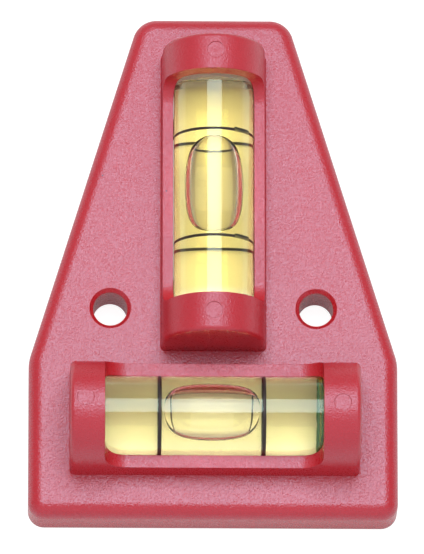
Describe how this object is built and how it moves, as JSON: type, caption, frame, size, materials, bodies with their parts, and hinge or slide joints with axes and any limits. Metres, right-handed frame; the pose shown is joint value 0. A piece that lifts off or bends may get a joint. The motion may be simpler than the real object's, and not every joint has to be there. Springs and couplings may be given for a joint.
{
  "type": "cross spirit level",
  "caption": "Red moulded plate that holds clear liquid vials at right angles in hooded cradles, with screw holes to fix it flat, read for level along both axes.",
  "frame": {"origin": "middle of the back plane that lies on the panel, halfway along the length", "axes": "+Z out of the face that is read, +Y toward the narrow end, +X to the right when reading"},
  "size_m": [0.07, 0.0984, 0.0248],
  "materials": {
    "red_plastic": "spark-eroded satin moulding",
    "clear_acrylic": "clear polished",
    "plug_acrylic": "clear, welded",
    "level_liquid": "clear yellow-green liquid",
    "air_bubble": "clear, empty",
    "ring_black": "matt black band",
    "white_plastic": "plain white moulding"
  },
  "bodies": {
    "housing": {"body": "red_plastic", "horizontal_barrel": "clear_acrylic", "horizontal_plug": "plug_acrylic", "horizontal_liquid": "level_liquid", "horizontal_ring_left": "ring_black", "horizontal_ring_right": "ring_black", "horizontal_retainer": "white_plastic", "vertical_barrel": "clear_acrylic", "vertical_plug": "plug_acrylic", "vertical_liquid": "level_liquid", "vertical_ring_lower": "ring_black", "vertical_ring_upper": "ring_black", "vertical_retainer": "white_plastic"},
    "horizontal_bubble": {"horizontal_bubble": "air_bubble"},
    "vertical_bubble": {"vertical_bubble": "air_bubble"}
  },
  "joints": [
    {"name": "horizontal_bubble_travel", "type": "slide", "parent": "housing", "child": "horizontal_bubble", "axis": [1, 0, 0], "range_m": [-0.0116, 0.0105], "stiffness_N_per_m": 2, "deforming": ["horizontal_liquid"]},
    {"name": "vertical_bubble_travel", "type": "slide", "parent": "housing", "child": "vertical_bubble", "axis": [0, 1, 0], "range_m": [-0.0101, 0.0112], "stiffness_N_per_m": 2, "deforming": ["vertical_liquid"]}
  ]
}
